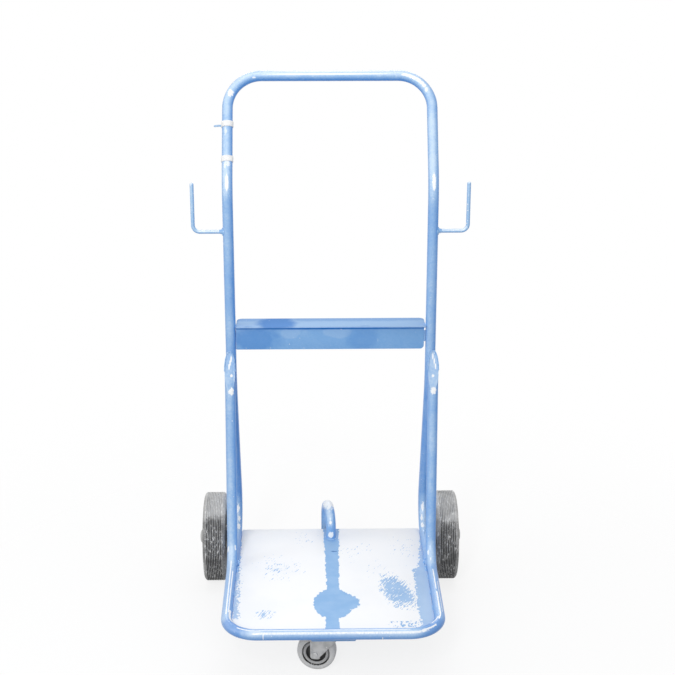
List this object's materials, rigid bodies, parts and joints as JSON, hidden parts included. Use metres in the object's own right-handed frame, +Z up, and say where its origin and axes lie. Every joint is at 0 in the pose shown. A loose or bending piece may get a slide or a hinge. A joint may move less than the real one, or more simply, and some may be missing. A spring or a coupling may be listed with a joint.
{
  "type": "pump cart",
  "caption": "Bent-tube hand cart with a flat platform, a pump rail, hose hooks and a leaning handle, on rear wheels and a swivel front caster.",
  "frame": {"origin": "on the floor, under the middle of the cart's bounding box", "axes": "+Z up, -Y towards the front of the platform and the caster, +X to the right as seen from the front"},
  "size_m": [0.5934, 0.601, 1.156],
  "materials": {
    "frame_paint": "worn semi-gloss blue paint",
    "plate_paint": "blue paint worn pale",
    "strap": "white webbing",
    "zinc": "zinc plated",
    "cap_plastic": "matt",
    "tyre_rubber": "dusty",
    "rim_plastic": "moulded",
    "caster_core": "moulded",
    "caster_rubber": "grey, non-marking"
  },
  "bodies": {
    "frame": {"handle_frame": "frame_paint", "platform_hoop": "frame_paint", "platform_plate": "plate_paint", "caster_channel": "frame_paint", "cross_rail": "frame_paint", "hose_hook_left": "frame_paint", "hose_hook_right": "frame_paint", "tipping_hoop": "frame_paint", "cable_strap_lower": "strap", "cable_strap_upper": "strap", "axle": "zinc", "axle_bracket_left": "frame_paint", "axle_bracket_right": "frame_paint", "axle_spacer_left": "zinc", "axle_spacer_right": "zinc", "axle_washer_left": "zinc", "axle_washer_right": "zinc", "hub_cap_left": "cap_plastic", "hub_cap_right": "cap_plastic", "caster_top_plate": "zinc", "caster_bolt_1": "zinc", "caster_bolt_2": "zinc", "caster_bolt_3": "zinc", "caster_bolt_4": "zinc", "caster_nut_1": "zinc", "caster_nut_2": "zinc", "caster_nut_3": "zinc", "caster_nut_4": "zinc", "caster_kingpin": "zinc", "caster_race": "zinc"},
    "wheel_left": {"tyre_left": "tyre_rubber", "wheel_rim_left": "rim_plastic", "wheel_bush_left": "zinc"},
    "wheel_right": {"tyre_right": "tyre_rubber", "wheel_rim_right": "rim_plastic", "wheel_bush_right": "zinc"},
    "fork": {"caster_fork": "zinc", "caster_axle_bolt": "zinc", "caster_axle_nut": "zinc"},
    "caster_wheel": {"caster_tyre": "caster_rubber", "caster_wheel_core": "caster_core", "caster_bush": "zinc"}
  },
  "joints": [
    {"name": "wheel_left_spin", "type": "hinge", "parent": "frame", "child": "wheel_left", "pos_m": [-0.261, 0.2005, 0.1], "axis": [1, 0, 0], "continuous": true},
    {"name": "wheel_right_spin", "type": "hinge", "parent": "frame", "child": "wheel_right", "pos_m": [0.261, 0.2005, 0.1], "axis": [1, 0, 0], "continuous": true},
    {"name": "caster_swivel", "type": "hinge", "parent": "frame", "child": "fork", "pos_m": [0, -0.2045, 0.09], "axis": [0, 0, 1], "continuous": true},
    {"name": "caster_wheel_spin", "type": "hinge", "parent": "fork", "child": "caster_wheel", "pos_m": [-0.03299, -0.19868, 0.04], "axis": [0.1736, 0.9848, 0], "continuous": true}
  ]
}
